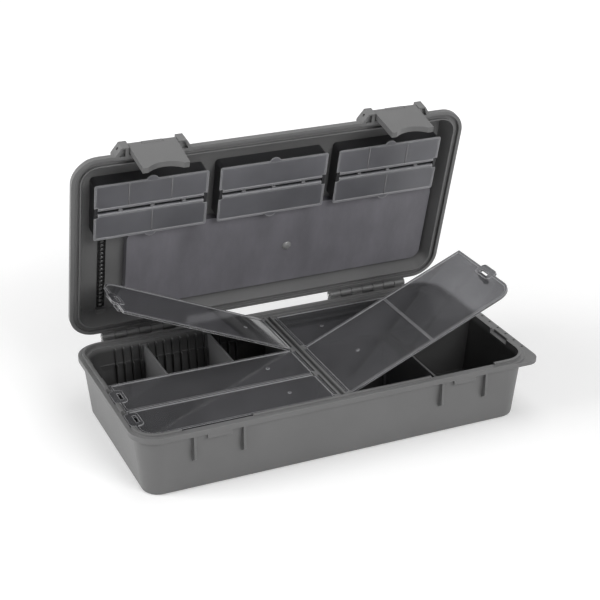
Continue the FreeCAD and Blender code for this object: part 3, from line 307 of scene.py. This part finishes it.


# Flaps: thin smoky polypropylene, glossy and half clear, with soft clouds from handling.
# Their raised borders and cut edges get a painted highlight, paler and less clear, where light
# gathers in them.
def smoky_plastic(name, colour, clear, rough, edge_highlight, edge_highlight_clear, reach=0.0011):
    material, tree, shader = new_plastic(name)
    made, link = tree.nodes.new, tree.links.new
    place = made("ShaderNodeTexCoord")
    cloud, tone = clouded(tree, place, colour, 14, 5, 0.8, 1.2)
    # Painted highlight: near the edges the colour turns paler and the plastic less clear.
    rim = near_edges(tree, reach, 6, 0.9, 1.0)[1]
    edge_highlight_mix = made("ShaderNodeMix")
    edge_highlight_mix.data_type = "RGBA"
    edge_highlight_mix.inputs["B"].default_value = (*edge_highlight, 1)
    link(rim, edge_highlight_mix.inputs["Factor"])
    link(tone.outputs["Color"], edge_highlight_mix.inputs["A"])
    link(edge_highlight_mix.outputs["Result"], shader.inputs["Base Color"])
    vary(tree, shader.inputs["Transmission Weight"], rim, clear, edge_highlight_clear)
    vary(tree, shader.inputs["Roughness"], cloud.outputs["Fac"], rough - 0.05, rough + 0.09)
    return material


flap_smoke = smoky_plastic(
    "flap_smoke", (0.215, 0.215, 0.225), 0.78, 0.07, (0.46, 0.46, 0.47), 0.25
)
flap_smoke.node_tree.nodes["Principled BSDF"].inputs["Specular IOR Level"].default_value = 0.25
dress(flap_smoke, *[name for name in nodes if name.startswith("flap_")])


# Dividers: thin grey plates with a foot, moulded in the shell's plastic and pushed down
# between the ribs of a bay.
divider_grey = moulded_plastic("divider_grey", (0.115, 0.115, 0.117), 0.45)
dress(divider_grey, *[name for name in nodes if name.startswith("divider_")])


# Bit boxes: near-black trays, each with two hazy lids on one middle rod.
tray_black = moulded_plastic("tray_black", (0.024, 0.024, 0.026), 0.38, edge=0.15)
bit_lid_haze = smoky_plastic(
    "bit_lid_haze", (0.22, 0.22, 0.24), 0.5, 0.3, (0.46, 0.46, 0.47), 0.08, reach=0.0013
)
dress(tray_black, *[name for name in nodes if name.startswith("bitbox_tray")])
dress(bit_lid_haze, *[name for name in nodes if name.startswith("bitbox_lid")])


# Ribs of the bit boxes: low ribs stand on the lids over the walls between compartments,
# and three posts between the two lids of a box stand on its spine. They look paler than
# the lids because the light gathers in them.
box_length, box_pitch, box_middle, row_offset = 0.1064, 0.1176, -0.0403, 0.0163
lid_hinge_y, lid_hinge_z, lid_turn = 0.10395, 0.063, math.radians(75)
row_shares = (("front", -1, (0.3, 0.675)), ("back", 1, (0.51,)))
post_shares = (0.23, 0.51, 0.79)
rib_pale = moulded_plastic("rib_pale", (0.19, 0.19, 0.195), 0.35, edge=0.15, radius=0.0003)


def small_block(name, size, height, round_off):
    """A block with rounded edges in the lid, modelled closed and then turned with the lid."""
    bpy.ops.object.select_all(action="DESELECT")
    bpy.ops.mesh.primitive_cube_add(size=1, location=(0, 0, height), scale=size)
    block = bpy.context.object
    block.name = name
    bpy.ops.object.transform_apply(location=True, rotation=True, scale=True)
    bpy.ops.object.mode_set(mode="EDIT")
    bpy.ops.mesh.select_all(action="SELECT")
    bpy.ops.mesh.bevel(offset=round_off, segments=2, affect="EDGES")
    bpy.ops.object.mode_set(mode="OBJECT")
    bpy.ops.object.shade_smooth_by_angle(angle=math.radians(35))
    block.data.materials.append(rib_pale)
    return block


def set_in_lid(master, name, x, y, body):
    """A copy of the block at a place in the lid, opened with it, on the body it rides."""
    piece = master.copy()
    piece.data = master.data.copy()
    piece.name = name
    bpy.context.collection.objects.link(piece)
    bpy.ops.object.select_all(action="DESELECT")
    piece.select_set(True)
    bpy.context.view_layer.objects.active = piece
    bpy.ops.object.mode_set(mode="EDIT")
    bpy.ops.mesh.select_all(action="SELECT")
    bpy.ops.transform.translate(value=(x, y, 0))
    bpy.ops.transform.rotate(
        value=lid_turn, orient_axis="X", center_override=(0, lid_hinge_y, lid_hinge_z)
    )
    bpy.ops.object.mode_set(mode="OBJECT")
    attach(piece, body)


lid_rib = small_block("lid_rib", (0.0011, 0.0222, 0.0006), 0.0621, 0.00018)
spine_post = small_block("spine_post", (0.0036, 0.0017, 0.0032), 0.0636, 0.0003)
for side, way in (("left", -1), ("middle", 0), ("right", 1)):
    centre = way * box_pitch
    if way:
        for row, depth, shares in row_shares:
            for count, share in enumerate(shares):
                set_in_lid(
                    lid_rib,
                    f"rib_{side}_{row}_{count}",
                    centre + (share - 0.5) * box_length,
                    box_middle + depth * row_offset,
                    f"box_{side}_{row}_lid",
                )
    for count, share in enumerate(post_shares):
        place = centre + (share - 0.5) * box_length
        set_in_lid(spine_post, f"post_{side}_{count}", place, box_middle, f"box_{side}")
for master in (lid_rib, spine_post):
    bpy.data.objects.remove(master)


# Rig sheet, stud and bead strip in the lid: a dark closed-cell foam sheet skinned on its
# face, held by one round stud, and a strip of beads for hook lengths.
sheet_dark = moulded_plastic("sheet_dark", (0.165, 0.161, 0.178), 0.5, skin=0.7, edge=0.1)
tree = sheet_dark.node_tree
# Painted sheen: streaky clouds make the sheet's face paler and darker in colour, standing in for
# its cloudy sheen.
place = tree.nodes.new("ShaderNodeTexCoord")
lay = tree.nodes.new("ShaderNodeMapping")
lay.inputs["Rotation"].default_value = (0, math.radians(12), 0)
lay.inputs["Scale"].default_value = (26, 10, 10)
sheen_streak = tree.nodes.new("ShaderNodeTexNoise")
sheen_streak.inputs["Scale"].default_value = 1
sheen_streak.inputs["Detail"].default_value = 6
sheen_streak.inputs["Roughness"].default_value = 0.62
sheen = tree.nodes.new("ShaderNodeMapRange")
sheen.inputs["From Min"].default_value = 0.3
sheen.inputs["From Max"].default_value = 0.72
sheen.inputs["To Min"].default_value = 0.78
sheen.inputs["To Max"].default_value = 1.22
tree.links.new(place.outputs["Object"], lay.inputs["Vector"])
tree.links.new(lay.outputs["Vector"], sheen_streak.inputs["Vector"])
tree.links.new(sheen_streak.outputs["Fac"], sheen.inputs["Value"])
multiply_colour(tree, tree.nodes["Principled BSDF"], sheen.outputs["Result"], 1)
stud_grey = moulded_plastic("stud_grey", (0.22, 0.22, 0.22), 0.25)
bead_black = moulded_plastic("bead_black", (0.012, 0.012, 0.012), 0.16, skin=0.1, edge=0)
dress(sheet_dark, "rig_panel")
dress(stud_grey, "panel_stud")
dress(bead_black, "bead_strip")
